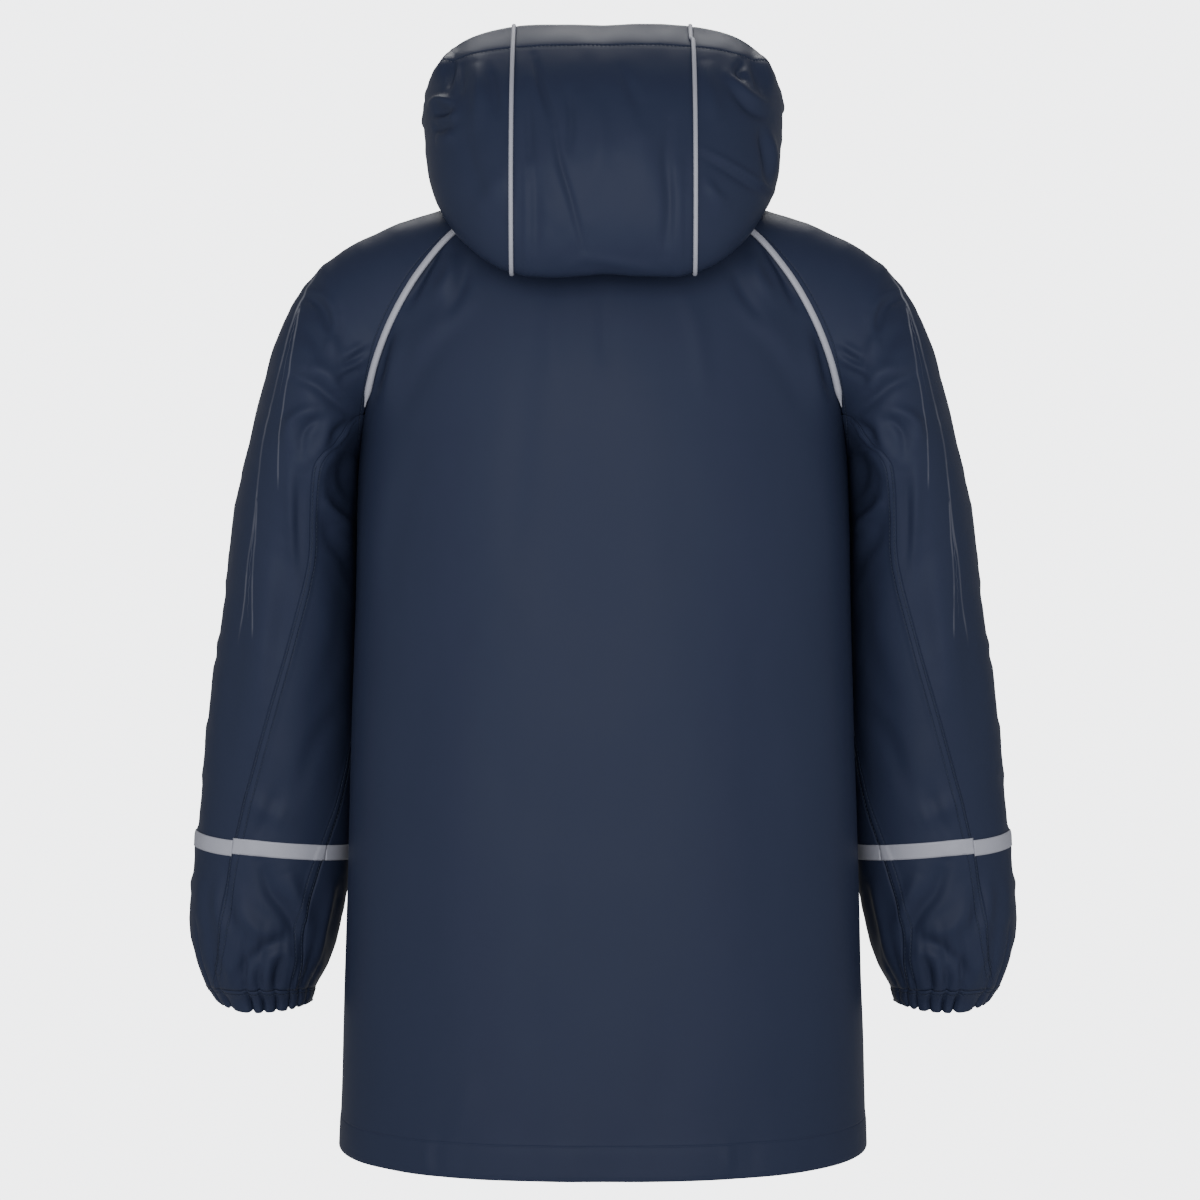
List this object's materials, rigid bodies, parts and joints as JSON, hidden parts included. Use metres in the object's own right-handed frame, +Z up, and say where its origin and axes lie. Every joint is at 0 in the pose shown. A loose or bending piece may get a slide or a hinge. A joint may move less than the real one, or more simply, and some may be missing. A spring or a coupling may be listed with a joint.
{
  "type": "children's hooded raincoat",
  "caption": "Child's long hooded raincoat in coated cloth, filled out as worn: raglan sleeves, gathered cuffs, corded piping, a flat band round each sleeve and a front zip.",
  "frame": {"origin": "middle of the neck opening, at the height of the neck seam", "axes": "+Z up, the front faces -Y, the wearer's left is +X"},
  "size_m": [0.5196, 0.2244, 0.6942],
  "materials": {
    "coated_cloth": "satin",
    "reflective_trim": "satin",
    "zip_tape": "matte",
    "zip_metal": "satin"
  },
  "bodies": {
    "coat": {"back": "coated_cloth", "front_left": "coated_cloth", "front_right": "coated_cloth", "sleeve_left_shoulder": "coated_cloth", "sleeve_left_arm": "coated_cloth", "sleeve_left_wrist": "coated_cloth", "sleeve_left_under": "coated_cloth", "sleeve_right_shoulder": "coated_cloth", "sleeve_right_arm": "coated_cloth", "sleeve_right_wrist": "coated_cloth", "sleeve_right_under": "coated_cloth", "cuff_left": "coated_cloth", "cuff_right": "coated_cloth", "hood_middle": "coated_cloth", "hood_left": "coated_cloth", "hood_right": "coated_cloth", "piping_back_left": "reflective_trim", "piping_back_right": "reflective_trim", "piping_front_left": "reflective_trim", "piping_front_right": "reflective_trim", "piping_hood_left": "reflective_trim", "piping_hood_right": "reflective_trim", "band_left_outer": "reflective_trim", "band_left_under": "reflective_trim", "band_right_outer": "reflective_trim", "band_right_under": "reflective_trim", "zip_tape_left": "zip_tape", "zip_tape_right": "zip_tape", "zip_slider": "zip_metal"},
    "pull_tab": {"zip_pull": "zip_metal"}
  },
  "joints": [
    {"name": "pull_tab_swing", "type": "hinge", "parent": "coat", "child": "pull_tab", "pos_m": [0, -0.07404, -0.05342], "axis": [-1, 0, 0], "range_deg": [0, 150]}
  ]
}
